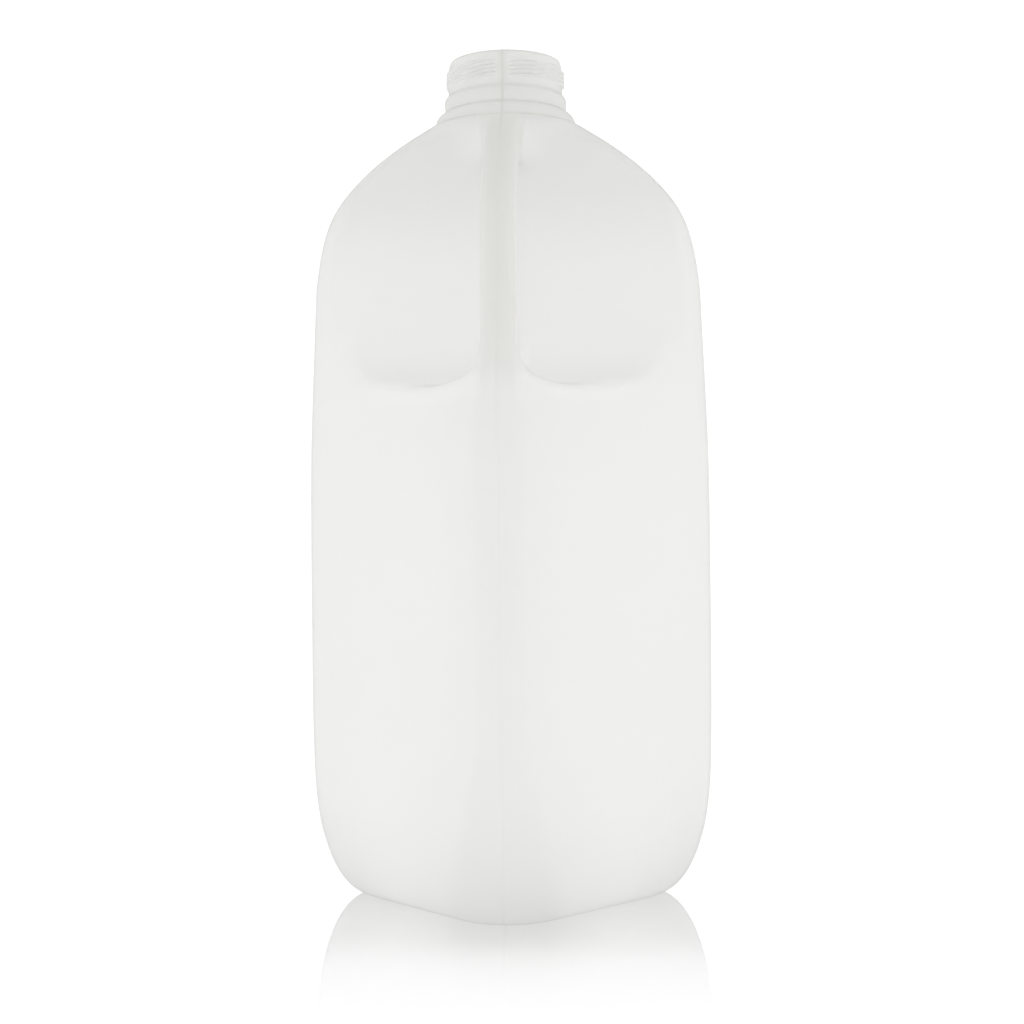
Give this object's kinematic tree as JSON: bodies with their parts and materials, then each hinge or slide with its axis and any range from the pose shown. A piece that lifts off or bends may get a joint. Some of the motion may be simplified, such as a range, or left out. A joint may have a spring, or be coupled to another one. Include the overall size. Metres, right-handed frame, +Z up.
{
  "type": "plastic milk bottle",
  "caption": "Empty milk bottle in thin milky plastic: a rounded square body, a hollow handle along one corner with a finger hole behind it, and an open threaded neck.",
  "frame": {"origin": "on the surface the bottle stands on, under the middle of its body", "axes": "+Z up along the neck; the handle is on the corner at -Y; the mould's parting plane is X = 0, and the finger hole runs along X"},
  "size_m": [0.1284, 0.1284, 0.266],
  "materials": {
    "natural_polythene": "thin, milky, translucent uncoloured polythene, half matt with soft highlights"
  },
  "bodies": {
    "root": {"bottle": "natural_polythene"}
  },
  "joints": []
}
